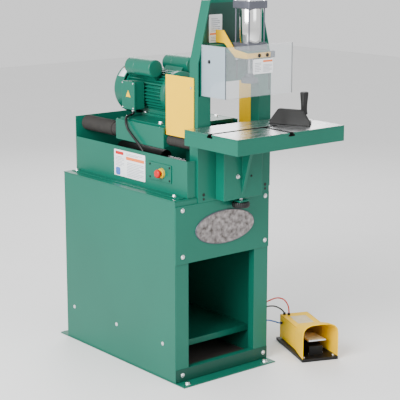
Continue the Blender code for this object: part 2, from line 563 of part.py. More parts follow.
def build_foot_valve():
    half, wall = VALVE_W / 2, 0.004
    base = valve_box("foot_valve_base", (-half, 0.0, 0.0), (half, VALVE_L, 0.012), BLACK)
    combine(base, valve_box("valve_block", (-0.028, 0.045, 0.011), (0.028, 0.125, 0.046), helper=True))
    low = 0.012 + GAP
    hood_depth, rear_half, rear_top = 0.120, 0.060, 0.108
    hood = valve_box("foot_valve_hood", (-half, 0.0, low), (half, hood_depth, VALVE_H))
    rear_box = valve_box(
        "rear_box", (-rear_half, hood_depth - 0.005, low + 0.0001), (rear_half, VALVE_L, rear_top), helper=True
    )
    combine(hood, rear_box)
    toe_high = (half - wall, hood_depth - wall, VALVE_H - wall)
    cut(hood, valve_box("toe_space", (wall - half, -0.01, -0.01), toe_high, helper=True))
    pedal_space = valve_box("pedal_space", (-0.045, 0.010, -0.012), (0.045, 0.178, 0.098), helper=True)
    cut(hood, pedal_space)
    pedal = valve_box("foot_pedal", (-0.036, -0.135, -0.004), (0.036, 0.0, 0.004), STEEL)
    pedal.location = valve_place(0, 0.168, 0.062)
    pedal.data.transform(Matrix.Translation((0, -0.0675, 0)))
    pedal.rotation_euler = (math.radians(-5), 0, VALVE_YAW)


def build_cords():
    tube("air_tube_red", RED_ROUTE, TUBE_R, RED, 0.015)
    tube("air_tube_black", BLACK_ROUTE, TUBE_R, BLACK, 0.015)
    tube("air_tube_blue", BLUE_ROUTE, TUBE_R, BLUE, 0.015)
    tube("motor_cable", CABLE_ROUTE, CABLE_R, BLACK, 0.010)


build_cabinet()
build_tray()
build_column()
build_table()
build_mitre_gauge()
build_clamp()
build_guards()
build_controls()
build_carriage()
build_motor()
build_foot_valve()
build_cords()
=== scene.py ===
import json
from math import atan2, copysign, cos, pi, radians, sin

import bmesh
import bpy
from mathutils import Matrix, Vector


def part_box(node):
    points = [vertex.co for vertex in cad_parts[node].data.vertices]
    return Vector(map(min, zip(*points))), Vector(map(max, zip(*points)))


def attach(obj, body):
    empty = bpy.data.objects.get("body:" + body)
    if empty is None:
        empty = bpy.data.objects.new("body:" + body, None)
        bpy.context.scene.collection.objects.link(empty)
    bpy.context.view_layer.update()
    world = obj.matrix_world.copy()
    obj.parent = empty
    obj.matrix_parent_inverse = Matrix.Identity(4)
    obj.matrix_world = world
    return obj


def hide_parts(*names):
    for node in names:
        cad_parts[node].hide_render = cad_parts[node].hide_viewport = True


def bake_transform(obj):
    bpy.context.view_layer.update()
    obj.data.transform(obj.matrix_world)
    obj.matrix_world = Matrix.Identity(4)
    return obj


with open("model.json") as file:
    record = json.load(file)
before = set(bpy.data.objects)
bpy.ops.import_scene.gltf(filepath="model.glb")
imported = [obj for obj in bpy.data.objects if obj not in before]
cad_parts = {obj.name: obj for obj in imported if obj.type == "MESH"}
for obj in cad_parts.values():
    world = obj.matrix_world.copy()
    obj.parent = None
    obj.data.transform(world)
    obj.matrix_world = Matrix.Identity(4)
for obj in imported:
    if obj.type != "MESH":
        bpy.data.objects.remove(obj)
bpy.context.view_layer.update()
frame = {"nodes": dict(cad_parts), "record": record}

BODY_OF = {node: body for body, nodes in frame["record"]["behaviour"]["bodies"].items() for node in nodes}
UP = (0, 0, 1)
DOWN = (0, 0, -1)
FRONTWARD = (0, -1, 0)
REARWARD = (0, 1, 0)
LEFTWARD = (-1, 0, 0)
RIGHTWARD = (1, 0, 0)

# The camera stands at the operator's left and looks down a little.
EYE = (-2.8889, -3.7734, 1.6611)
YAW = radians(39.16)
PITCH = radians(12.564)
LENS = 112.25
SENSOR = 36
LAMP_AIM = Vector((0, 0, 0.7))
FLOOR_REACH = 9
FLOOR_Z = -0.001

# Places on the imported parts, in metres.
FRONT_SHEET_Y = -0.3643
POCKET_BACK_Y = -0.3214
KNEE_SCREW_Y = -0.4120
MOTOR_X = 0.053
MOTOR_Z = 1.0178
ROD_LEFT_X = -0.1077
ROD_RIGHT_X = 0.189
ROD_Z = 0.877
GAUGE_PIVOT_XY = (0.190, -0.512)
GAUGE_YAW = radians(22.5)
GAUGE_HANDLE_XY = (0.2235, -0.5468)
# The middle of the foot valve's mouth, on the floor, and the way it is turned.
VALVE_FRONT = (0.3682, -0.5126, 0)
VALVE_YAW = radians(-22)
# How thick a label and the print on it are.
LABEL_THICK = 0.0006
PRINT_THICK = 0.0002
# A tube's end is a sharp edge and its bends are smooth, so its limit is a steep angle in degrees.
TUBE_SHARP = 80


def centre(node):
    """The middle of a CAD node's box."""
    low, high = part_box(node)
    return (Vector(low) + Vector(high)) / 2


# ---------------------------------------------------------------- stage

def build_camera():
    """The camera of the reference view, with no lens shift."""
    camera = bpy.data.objects.new("camera", bpy.data.cameras.new("camera"))
    camera.location = EYE
    camera.rotation_euler = (pi / 2 - PITCH, 0, -YAW)
    camera.data.lens = LENS
    camera.data.sensor_width = SENSOR
    bpy.context.scene.collection.objects.link(camera)
    bpy.context.scene.camera = camera


def build_floor():
    """A wide pale floor just under the machine."""
    mesh = bpy.data.meshes.new("floor")
    corners = [(-1, -1), (1, -1), (1, 1), (-1, 1)]
    mesh.from_pydata([(x * FLOOR_REACH, y * FLOOR_REACH, FLOOR_Z) for x, y in corners], [], [(0, 1, 2, 3)])
    floor = bpy.data.objects.new("floor", mesh)
    bpy.context.scene.collection.objects.link(floor)
    mesh.materials.append(surface("floor_white", (0.86, 0.86, 0.86), 0.6, vary=0.01, scale=2))


def build_lights():
    """Three large soft lamps, each (place, size, power), and an even white surround."""
    lamps = {
        "key_light": ((-3.4, -1.2, 2.6), 2.6, 330),
        "fill_light": ((0.6, -4.2, 2.6), 2.2, 40),
        "rim_light": ((2.2, 2.6, 2.6), 2.0, 60),
    }
    for name, (place, size, power) in lamps.items():
        light = bpy.data.lights.new(name, "AREA")
        light.size = size
        light.energy = power
        lamp = bpy.data.objects.new(name, light)
        lamp.location = place
        lamp.rotation_euler = (LAMP_AIM - Vector(place)).to_track_quat("-Z", "Y").to_euler()
        bpy.context.scene.collection.objects.link(lamp)
    world = bpy.data.worlds.new("studio")
    world.use_nodes = True
    set_inputs(world.node_tree.nodes["Background"], {"Color": (1.0, 1.0, 1.0, 1.0), "Strength": 1.1})
    bpy.context.scene.world = world


# ---------------------------------------------------------------- materials

def set_inputs(node, values):
    """Sets a shader node's inputs by name."""
    for name, value in values.items():
        node.inputs[name].default_value = value


def surface(name, colour, roughness, metallic=0.0, vary=0.12, scale=6.0, bump=0.05, grain=350.0,
            stretch=(1, 1, 1), alpha=1.0, coat=0.0, speckle=None, gloss=0.5):
    """A Principled material whose colour and roughness wander, with a fine grain in relief."""
    material = bpy.data.materials.new(name)
    material.use_nodes = True
    nodes, links = material.node_tree.nodes, material.node_tree.links
    shader = nodes["Principled BSDF"]
    set_inputs(shader, {
        "Metallic": metallic, "Alpha": alpha, "Coat Weight": coat, "Specular IOR Level": gloss,
    })
    place = nodes.new("ShaderNodeTexCoord")
    mapping = nodes.new("ShaderNodeMapping")
    set_inputs(mapping, {"Scale": stretch})
    links.new(place.outputs["Object"], mapping.inputs["Vector"])
    broad = nodes.new("ShaderNodeTexNoise")
    set_inputs(broad, {"Scale": scale, "Detail": 5.0})
    links.new(mapping.outputs["Vector"], broad.inputs["Vector"])
    ramp = nodes.new("ShaderNodeValToRGB")
    ramp.color_ramp.elements[0].position = 0.3
    ramp.color_ramp.elements[1].position = 0.7
    dark = [c * (1 - vary) for c in colour]
    light = speckle or [min(1.0, c * (1 + vary)) for c in colour]
    ramp.color_ramp.elements[0].color = (*dark, 1)
    ramp.color_ramp.elements[1].color = (*light, 1)
    links.new(broad.outputs["Fac"], ramp.inputs["Fac"])
    links.new(ramp.outputs["Color"], shader.inputs["Base Color"])
    fine = nodes.new("ShaderNodeTexNoise")
    set_inputs(fine, {"Scale": grain, "Detail": 3.0})
    links.new(mapping.outputs["Vector"], fine.inputs["Vector"])
    spread = nodes.new("ShaderNodeMapRange")
    set_inputs(spread, {"To Min": max(0.02, roughness - 0.08), "To Max": roughness + 0.08})
    links.new(broad.outputs["Fac"], spread.inputs["Value"])
    links.new(spread.outputs["Result"], shader.inputs["Roughness"])
    relief = nodes.new("ShaderNodeBump")
    set_inputs(relief, {"Strength": bump, "Distance": 0.0005})
    links.new(fine.outputs["Fac"], relief.inputs["Height"])
    links.new(relief.outputs["Normal"], shader.inputs["Normal"])
    return material


GREEN = surface(
    "green_enamel", (0.002, 0.108, 0.070), 0.34, vary=0.06, scale=3, bump=0.10, grain=420, gloss=0.32
)
# Painted shade: a darker copy of the green enamel stands in for the shade at the back of the column's head
# pocket.
POCKET_SHADE_GREEN = surface("green_shadowed", (0.003, 0.042, 0.030), 0.5, vary=0.15, scale=5, bump=0.08)
KICK_GREEN = surface(
    "kick_band_green", (0.001, 0.052, 0.034), 0.36, vary=0.08, scale=4, bump=0.10, grain=420, gloss=0.3
)
YELLOW = surface(
    "yellow_enamel", (0.86, 0.51, 0.0), 0.42, vary=0.05, scale=4, bump=0.10, grain=420, gloss=0.05
)
GROUND = surface("ground_steel", (0.66, 0.67, 0.68), 0.26, 1.0, 0.05, 5, 0.10, 60, (1, 14, 1))
STEEL = surface("turned_steel", (0.55, 0.56, 0.58), 0.26, 1.0, 0.08, 20, 0.05, 300)
BRIGHT = surface("polished_barrel", (0.84, 0.84, 0.83), 0.13, 1.0, 0.03, 12, 0.02, 200, (1, 1, 0.1))
ZINC = surface("zinc_plate", (0.75, 0.76, 0.77), 0.28, 1.0, 0.08, 60, 0.05, 400)
CAP_GREY = surface("grey_cap_cast", (0.085, 0.088, 0.110), 0.45, 0.3, 0.10, 30, 0.22, 500)
BLACK = surface(
    "black_enamel", (0.0045, 0.0045, 0.004), 0.5, vary=0.3, scale=15, bump=0.25, grain=420, gloss=0.3
)
PLASTIC = surface(
    "black_plastic", (0.006, 0.006, 0.006), 0.42, vary=0.3, scale=40, bump=0.12, grain=700, gloss=0.35
)
RUBBER = surface("bellows_cloth", (0.016, 0.014, 0.012), 0.8, vary=0.35, scale=55, bump=0.5, grain=900)
RED = surface(
    "red_plastic", (0.52, 0.006, 0.006), 0.35, vary=0.08, scale=30, bump=0.03, grain=600, gloss=0.3
)
RED_TUBE = surface("red_tube", (0.62, 0.04, 0.035), 0.25, vary=0.05, scale=30, bump=0.02, coat=0.3)
BLUE_TUBE = surface("blue_tube", (0.03, 0.13, 0.48), 0.25, vary=0.05, scale=30, bump=0.02, coat=0.3)
LABEL = surface("label_white", (0.80, 0.82, 0.84), 0.35, vary=0.03, scale=30, bump=0.02, grain=700)
PRINT = surface("label_grey_print", (0.40, 0.42, 0.46), 0.4, vary=0.35, scale=220, bump=0.0)
ORANGE = surface("label_orange", (0.78, 0.17, 0.03), 0.4, vary=0.06, scale=60, bump=0.01)
PEWTER = surface(
    "pewter_badge", (0.12, 0.10, 0.09), 0.42, 0.55, 0.45, 60, 0.5, 160, speckle=(0.36, 0.33, 0.33)
)
TAN = surface("tread_plate", (0.50, 0.40, 0.22), 0.5, 0.2, 0.18, 30, 0.4, 300)
CLEAR = surface("clear_sheet", (0.80, 0.86, 0.90), 0.05, vary=0.02, scale=3, bump=0.0, alpha=0.16)
# Painted reflection: the side sheet is the same clear sheet made paler and more opaque, standing in for the
# light it reflects.
CLEAR_SIDE_GLARE = surface("clear_sheet_side_painted_reflection", (0.36, 0.44, 0.50), 0.10, vary=0.04, scale=3, bump=0.0, alpha=0.66)
CLEAR_EDGE = surface(
    "clear_sheet_edge", (0.035, 0.042, 0.050), 0.2, vary=0.1, scale=30, bump=0.0, alpha=0.92
)
# Painted shade: a dark brown-grey stands in for the shade inside the cabinet, whose floor is green like the
# rest.
CABINET_FLOOR_SHADE = surface("cabinet_floor_painted_shade", (0.075, 0.068, 0.062), 0.55, 0.2, 0.2, 8, 0.15, 200)


# ---------------------------------------------------------------- building blocks

def finish_mesh(name, work, materials, body, angle=32):
    """An object from a bmesh, riding on a body if one is given. Edges sharper than the angle stay sharp."""
    bmesh.ops.recalc_face_normals(work, faces=work.faces)
    mesh = bpy.data.meshes.new(name)
    work.to_mesh(mesh)
    work.free()
    mesh.shade_smooth()
    mesh.set_sharp_from_angle(angle=radians(angle))
    for material in materials if isinstance(materials, (list, tuple)) else [materials]:
        mesh.materials.append(material)
    obj = bpy.data.objects.new(name, mesh)
    bpy.context.scene.collection.objects.link(obj)
    if body:
        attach(obj, body)
    return obj


def soften(obj, width=0.0012, segments=2, angle=35):
    """Rounds the sharp edges of a piece."""
    modifier = obj.modifiers.new("edges", "BEVEL")
    modifier.width = width
    modifier.segments = segments
    modifier.limit_method = "ANGLE"
    modifier.angle_limit = radians(angle)
    obj.modifiers.new("even_normals", "WEIGHTED_NORMAL").keep_sharp = True
    return obj


def refined(node, material, width=0.0012, segments=2):
    """The CAD node again with rounded edges, in place of it."""
    work = bmesh.new()
    work.from_mesh(frame["nodes"][node].data)
    bmesh.ops.remove_doubles(work, verts=work.verts, dist=1e-6)
    bmesh.ops.dissolve_degenerate(work, dist=1e-5, edges=work.edges)
    bmesh.ops.dissolve_limit(work, angle_limit=radians(1), verts=work.verts, edges=work.edges)
    piece = finish_mesh(f"{node}_finished", work, material, BODY_OF[node])
    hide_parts(node)
    return soften(piece, width, segments) if width else piece


def repaint(material, *nodes):
    """Gives plain CAD nodes a finished material."""
    for node in nodes:
        obj = frame["nodes"][node]
        obj.data.materials.clear()
        obj.data.materials.append(material)


def add_box(work, low, high, turn=None, index=0):
    """A box between two corners, turned by a matrix if one is given."""
    low, high = Vector(low), Vector(high)
    made = bmesh.ops.create_cube(work, size=1.0)["verts"]
    matrix = Matrix.Translation((low + high) / 2) @ Matrix.Diagonal((*(high - low), 1))
    bmesh.ops.transform(work, matrix=(turn @ matrix) if turn else matrix, verts=made)
    for face in {face for vert in made for face in vert.link_faces}:
        face.material_index = index


def aimed(place, axis):
    """The matrix that carries the Z axis to a place and a direction."""
    return Matrix.Translation(place) @ Vector(axis).to_track_quat("Z", "Y").to_matrix().to_4x4()


def add_turned(work, profile, place, axis, steps=32, index=0):
    """A solid of revolution from (radius, height) points, closed if both ends are on the axis."""
    frame_to = aimed(place, axis)
    rings = []
    for radius, height in profile:
        if radius < 1e-7:
            rings.append([work.verts.new(frame_to @ Vector((0, 0, height)))])
            continue
        ring = []
        for step in range(steps):
            angle = 2 * pi * step / steps
            spot = Vector((radius * cos(angle), radius * sin(angle), height))
            ring.append(work.verts.new(frame_to @ spot))
        rings.append(ring)
    for above, below in zip(rings, rings[1:]):
        for step in range(steps):
            after = (step + 1) % steps
            if len(above) == 1:
                face = work.faces.new((above[0], below[step], below[after]))
            elif len(below) == 1:
                face = work.faces.new((above[step], below[0], above[after]))
            else:
                face = work.faces.new((above[step], below[step], below[after], above[after]))
            face.material_index = index


def add_loft(work, rings, bands=None):
    """Closed rings joined in turn, with a face over each end. bands holds a material index for each band."""
    for band, (near, far) in enumerate(zip(rings, rings[1:])):
        for i, vertex in enumerate(near):
            after = (i + 1) % len(near)
            face = work.faces.new((vertex, near[after], far[after], far[i]))
            face.material_index = bands[band] if bands else 0
    work.faces.new(rings[0])
    work.faces.new(rings[-1])


def add_prism(work, outline, place, across, upward, depth, index=0):
    """An outline in the plane of two directions, extruded along their cross product."""
    across, upward = Vector(across).normalized(), Vector(upward).normalized()
    out = across.cross(upward)
    rings = []
    for level in (0.0, depth):
        rings.append([
            work.verts.new(Vector(place) + across * x + upward * y + out * level) for x, y in outline
        ])
    made = [work.faces.new(rings[0][::-1]), work.faces.new(rings[1])]
    count = len(outline)
    for i in range(count):
        after = (i + 1) % count
        made.append(work.faces.new((rings[0][i], rings[0][after], rings[1][after], rings[1][i])))
    for face in made:
        face.material_index = index


def rounded(width, height, radius, steps=5):
    """The outline of a rectangle with round corners, about its middle."""
    points = []
    for turn, (sx, sy) in enumerate(((1, 1), (-1, 1), (-1, -1), (1, -1))):
        for step in range(steps + 1):
            angle = (turn + step / steps) * pi / 2
            points.append((
                sx * (width / 2 - radius) + radius * cos(angle),
                sy * (height / 2 - radius) + radius * sin(angle),
            ))
    return points


def add_bolt(work, place, axis, radius=0.0065, height=0.004, kind="button"):
    """A washer with a hexagon, button or socket head on it."""
    add_turned(work, [(0, 0.0012), (radius * 1.35, 0.0012), (radius * 1.4, 0.0), (0, 0.0)], place, axis, 20)
    if kind == "hex":
        top, base = 0.0012 + height, 0.0010
        add_turned(
            work, [(0, top), (radius * 0.92, top), (radius, top - 0.0008), (radius, base), (0, base)],
            place, axis, 6
        )
    elif kind == "socket":
        top = 0.0010 + height
        profile = [
            (0, top - height * 0.5), (radius * 0.5, top - height * 0.5), (radius * 0.5, top),
            (radius * 0.88, top), (radius, top - 0.0006), (radius, 0.0008), (0, 0.0008),
        ]
        add_turned(work, profile, place, axis, 20)
    else:
        dome = [(radius * sin(pi / 2 * i / 6), 0.001 + height * cos(pi / 2 * i / 6)) for i in range(7)]
        add_turned(work, [*dome, (0, 0.0008)], place, axis, 20)


def bolts(name, rows, body, material=ZINC):
    """One piece holding a set of fasteners. Each row is (place, axis, radius, height, kind)."""
    work = bmesh.new()
    for row in rows:
        add_bolt(work, *row)
    return finish_mesh(name, work, material, body)


def label(name, place, across, upward, width, height, body, bar=None, blocks=(), radius=0.004):
    """A plain printed label: a rounded plate, a coloured bar and blocks of grey lines that say nothing."""
    work = bmesh.new()
    add_prism(work, rounded(width, height, radius), place, across, upward, LABEL_THICK, 0)
    out = Vector(across).normalized().cross(Vector(upward).normalized())
    lift = Vector(place) + out * LABEL_THICK
    if bar:
        x0, y0, x1, y1 = bar
        add_prism(work, [(x0, y0), (x1, y0), (x1, y1), (x0, y1)], lift, across, upward, PRINT_THICK, 1)
    for x0, y0, x1, y1, rows in blocks:
        pitch = (y1 - y0) / rows
        for row in range(rows):
            low = y0 + row * pitch
            short = 0.25 * (x1 - x0) if row % 3 == 0 else 0.0
            end, high = x1 - short, low + pitch * 0.45
            line = [(x0, low), (end, low), (end, high), (x0, high)]
            add_prism(work, line, lift, across, upward, PRINT_THICK, 2)
    return finish_mesh(name, work, [LABEL, ORANGE, PRINT], body)


def spline_points(points, count):
    """Points on a Catmull-Rom curve through the given ones."""
    knots = [Vector(p) for p in points]
    knots = [2 * knots[0] - knots[1], *knots, 2 * knots[-1] - knots[-2]]
    made = []
    for a, b, c, d in zip(knots, knots[1:], knots[2:], knots[3:]):
        for step in range(count):
            t = step / count
            made.append(0.5 * (
                2 * b + (c - a) * t + (2 * a - 5 * b + 4 * c - d) * t**2 + (3 * b - a - 3 * c + d) * t**3
            ))
    return [*made, knots[-2]]


def add_tube(work, points, radius, steps=14):
    """A closed round tube along points, with its rings kept from twisting."""
    rings = []
    side = Vector((0.31, 0.17, 0.93))
    turns = [2 * pi * k / steps for k in range(steps)]
    for i, point in enumerate(points):
        ahead = points[min(i + 1, len(points) - 1)] - points[max(i - 1, 0)]
        ahead.normalize()
        side = (side - ahead * side.dot(ahead)).normalized()
        other = ahead.cross(side)
        rings.append([
            work.verts.new(point + radius * (side * cos(turn) + other * sin(turn))) for turn in turns
        ])
    for near, far in zip(rings, rings[1:]):
        for k in range(steps):
            work.faces.new((near[k], near[(k + 1) % steps], far[(k + 1) % steps], far[k]))
    work.faces.new(rings[0][::-1])
    work.faces.new(rings[-1])


# ---------------------------------------------------------------- cords

RED_ROUTE = [
    (0.2344, -0.200, 0.145), (0.262, -0.203, 0.149), (0.300, -0.216, 0.160), (0.340, -0.236, 0.180),
    (0.378, -0.249, 0.190), (0.412, -0.255, 0.178), (0.434, -0.256, 0.150), (0.4405, -0.2552, 0.125),
    (0.4405, -0.2552, 0.1110),
]
BLACK_ROUTE = [
    (0.2344, -0.220, 0.130), (0.262, -0.222, 0.138), (0.296, -0.229, 0.154), (0.334, -0.238, 0.160),
    (0.372, -0.241, 0.155), (0.404, -0.241, 0.139), (0.424, -0.2405, 0.122), (0.4300, -0.2405, 0.1110),
]
BLUE_ROUTE = [
    (0.2344, -0.240, 0.100), (0.262, -0.240, 0.103), (0.300, -0.240, 0.106), (0.340, -0.240, 0.102),
    (0.375, -0.242, 0.090), (0.395, -0.2435, 0.081), (0.4092, -0.2464, 0.078),
]
CABLE_ROUTE = [
    (-0.072, 0.090, 0.9540), (-0.072, 0.090, 0.9460), (-0.084, 0.083, 0.9385), (-0.110, 0.069, 0.938),
    (-0.134, 0.052, 0.9355), (-0.149, 0.036, 0.920), (-0.153, 0.018, 0.896), (-0.153, -0.018, 0.869),
    (-0.152, -0.048, 0.848), (-0.151, -0.076, 0.820), (-0.149, -0.090, 0.780), (-0.148, -0.095, 0.740),
    (-0.148, -0.096, 0.6910),
]


def build_air_tubes():
    """The three lines from the cabinet to the foot valve."""
    for colour, route, material in (
        ("red", RED_ROUTE, RED_TUBE), ("black", BLACK_ROUTE, PLASTIC), ("blue", BLUE_ROUTE, BLUE_TUBE),
    ):
        path = spline_points(route, 6)
        work = bmesh.new()
        add_tube(work, path, 0.003)
        tube = finish_mesh(f"air_line_{colour}", work, material, "root", TUBE_SHARP)
        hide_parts(f"air_tube_{colour}")


def build_motor_cable():
    """The motor lead, from the tray to the motor."""
    work = bmesh.new()
    add_tube(work, spline_points(CABLE_ROUTE, 8), 0.005, 16)
    cable = finish_mesh("motor_lead", work, PLASTIC, None, TUBE_SHARP)
    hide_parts("motor_cable")
    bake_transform(cable)


# ---------------------------------------------------------------- cabinet

def build_cabinet():
    """The sheet-metal stand and the tray walls, with their fasteners."""
    low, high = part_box("cabinet_left_panel")
    work = bmesh.new()
    add_box(work, (low[0] + 0.0026, low[1], low[2]), high)
    left = soften(finish_mesh("left_panel_skin", work, GREEN, "root"), 0.0008)
    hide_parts("cabinet_left_panel")
    refined("cabinet_base", GREEN, 0.0006)
    for node in ("cabinet_right_panel", "cabinet_rear_panel", "cabinet_top_plate", "cabinet_front_frame"):
        refined(node, GREEN, 0.0008)
    for node in ("cabinet_front_cover", "cabinet_shelf", "tray_right_wall", "tray_rear_wall"):
        refined(node, GREEN, 0.0010)
    refined("tray_left_wall", GREEN, 0.0)
    side_x = low[0] + 0.0024
    frame_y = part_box("cabinet_front_frame")[0][1]
    rows = [((side_x, y, 0.138), LEFTWARD, 0.0055, 0.0010, "button") for y in (-0.281, 0.013, 0.306)]
    rows += [
        ((x, FRONT_SHEET_Y, z), FRONTWARD, 0.0062, 0.0040, "button")
        for x in (-0.193, 0.205) for z in (0.653, 0.481)
    ]
    rows += [((x, frame_y - 0.0020, 0.030), FRONTWARD, 0.0062, 0.0040, "button") for x in (-0.193, 0.205)]
    rows += [((-0.180, y, 0.6935), UP, 0.0070, 0.0045, "hex") for y in (-0.30, 0.33)]
    rows += [((x, y, 0.004), UP, 0.0085, 0.0060, "hex") for x in (-0.19, 0.19) for y in (-0.388, 0.388)]
    bolts("cabinet_fasteners", rows, "root")
    dark = bmesh.new()
    for x in (-0.095, 0.2035):
        for z, radius in ((0.6975, 0.0062), (0.6815, 0.0048)):
            plug = [(0, 0.0004), (radius, 0.0004), (radius, 0.0), (0, 0.0)]
            add_turned(dark, plug, (x, -0.3641, z), FRONTWARD, 20)
    finish_mesh("plugged_holes", dark, PLASTIC, "root")
    band = bmesh.new()
    add_box(band, (-0.2246, frame_y - 0.0020, 0.0050), (0.2246, frame_y - 0.0002, 0.0530))
    soften(finish_mesh("kick_band", band, KICK_GREEN, "root"), 0.0006)
    # A dark sheet over the cabinet's floor is painted shade for the dim inside of the stand.
    floor_shade = bmesh.new()
    add_box(floor_shade, (-0.2215, -0.3564, 0.0043), (0.2215, 0.3564, 0.0060))
    finish_mesh("cabinet_floor_shade_sheet", floor_shade, CABINET_FLOOR_SHADE, "root")
    jamb = bmesh.new()
    for x in ((-0.1640, -0.1630), (0.1554, 0.1564)):
        add_box(jamb, (x[0], -0.3564, 0.053), (x[1], -0.330, 0.452))
    add_box(jamb, (-0.163, -0.3564, 0.0515), (0.1554, -0.335, 0.0528))
    finish_mesh("opening_returns", jamb, GREEN, "root")


def build_badge():
    """A plain oval nameplate with a cast rim and a hammered, mottled field."""
    steps = 72
    half_w = 0.141
    half_h = 0.0635
    place = (0.006, FRONT_SHEET_Y, 0.566)
    work = bmesh.new()
    profile = [(0.90, 0.0022), (0.925, 0.0026), (0.95, 0.0042), (0.98, 0.0042), (1.0, 0.0020), (1.0, 0.0)]
    rings = []
    for share, height in profile:
        rings.append([
            work.verts.new(Vector(place) + Vector((
                (half_w - (1 - share) * half_h) * cos(2 * pi * i / steps), -height,
                half_h * share * sin(2 * pi * i / steps),
            ))) for i in range(steps)
        ])
    add_loft(work, rings, (0, 0, 1, 1, 1))
    finish_mesh("oval_nameplate", work, [PEWTER, CAP_GREY], "root")


def build_column():
    """The column, a dark sheet of painted shade at the back of its head pocket, and the label there."""
    refined("column", GREEN, 0.0016)
    back = bmesh.new()
    # A dark green sheet at the pocket's back is painted shade, not a part of its own.
    add_box(back, (-0.0470, POCKET_BACK_Y, 1.238), (0.1530, -0.3208, 1.380))
    finish_mesh("column_pocket_shade", back, POCKET_SHADE_GREEN, "root")
    label(
        "column_label", (-0.006, POCKET_BACK_Y - 0.0001, 1.289), RIGHTWARD, UP, 0.061, 0.100, "root",
        bar=(-0.027, -0.022, 0.027, -0.016), blocks=[
            (-0.022, -0.044, 0.022, -0.026, 3), (-0.020, -0.010, 0.020, 0.040, 7)
        ],
    )


# ---------------------------------------------------------------- table and gauge

def build_table():
    """One slotted table in place of the casting and its plates, the knee, and the height knob."""
    low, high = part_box("table_casting")
    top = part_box("table_plate_rear")[1][2]
    slot_y = (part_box("table_plate_front_left")[1][1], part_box("table_plate_rear")[0][1])
    slot_x = (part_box("table_plate_front_left")[1][0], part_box("table_plate_front_right")[0][0])
    floor, shelf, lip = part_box("table_plate_rear")[0][2], top - 0.0062, 0.0048
    work = bmesh.new()
    add_box(work, low, (high[0], high[1], floor))
    pads = (
        ((low[0], slot_y[1]), (high[0], high[1]), (0, lip, 0, 0)),
        ((low[0], low[1]), (slot_x[0], slot_y[0]), (0, 0, lip, lip)),
        ((slot_x[1], low[1]), (high[0], slot_y[0]), (lip, 0, 0, lip)),
    )
    for (x0, y0), (x1, y1), (left, near, right, far) in pads:
        add_box(work, (x0 + left, y0 + near, floor - 0.0005), (x1 - right, y1 - far, shelf + 0.0002))
        add_box(work, (x0, y0, shelf), (x1, y1, top))
    for face in work.faces:
        face.normal_update()
        middle = face.calc_center_median()
        if abs(face.normal.z) > 0.9 and middle.z > top - 0.0004:
            face.material_index = 1
        inside = low[0] + 0.002 < middle.x < high[0] - 0.002 and low[1] + 0.002 < middle.y < high[1] - 0.002
        if inside and floor - 0.002 < middle.z < top - 0.001:
            face.material_index = 2
    table = finish_mesh("slotted_table", work, [GREEN, GROUND, BLACK], "table")
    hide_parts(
        "table_casting", "table_plate_rear", "table_plate_front_left", "table_plate_front_right"
    )
    soften(table, 0.0007, 2)
    refined("knee", GREEN, 0.0016)
    bolts("knee_screw", [((0.026, KNEE_SCREW_Y, 0.757), FRONTWARD, 0.0058, 0.0060, "socket")], "table")
    bolts(
        "knee_set_screw", [((0.092, KNEE_SCREW_Y, 0.752), FRONTWARD, 0.0032, 0.0015, "socket")], "table",
        PLASTIC
    )
    work = bmesh.new()
    x, y = centre("table_knob").x, centre("table_knob").y
    lobes = 28
    rings = []
    for radius, z in (
        (0.024, 0.6590), (0.0305, 0.6580), (0.0330, 0.6550), (0.0330, 0.6425), (0.0300, 0.6385),
        (0.022, 0.6380)
    ):
        ring = []
        for i in range(lobes * 4):
            angle = 2 * pi * i / (lobes * 4)
            reach = radius * (1 - 0.035 * (i % 4 in (0, 1)) * (radius > 0.031))
            ring.append(work.verts.new((x + reach * cos(angle), y + reach * sin(angle), z)))
        rings.append(ring)
    add_loft(work, rings)
    add_turned(work, [(0, 0.1235), (0.0076, 0.1225), (0.0078, 0.0), (0, 0.0)], (x, y, 0.6585), UP, 24, 1)
    knob = finish_mesh("height_handwheel", work, [PLASTIC, STEEL], "height_knob")
    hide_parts("table_knob")


